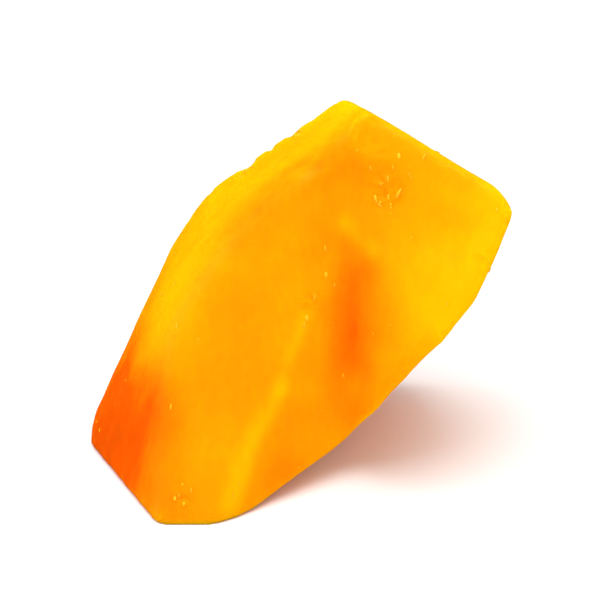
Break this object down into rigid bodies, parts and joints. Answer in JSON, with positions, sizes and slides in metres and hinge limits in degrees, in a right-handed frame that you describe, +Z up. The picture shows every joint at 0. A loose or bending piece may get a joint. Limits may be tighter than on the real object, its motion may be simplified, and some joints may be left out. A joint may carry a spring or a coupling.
{
  "type": "fresh mango chunk",
  "caption": "Hand-cut chunk of ripe mango flesh: a tall slab joined to a side lobe with a valley between, standing on one flat knife cut.",
  "frame": {"origin": "on the surface the chunk rests on, under the middle of its bounding box", "axes": "+Z up; the main cut face looks along -Y and upwards; +X runs from the slab on the left to the lobe on the right"},
  "size_m": [0.0466, 0.0326, 0.0405],
  "materials": {
    "mango_flesh": null
  },
  "bodies": {
    "root": {"mango_chunk": "mango_flesh"}
  },
  "joints": []
}
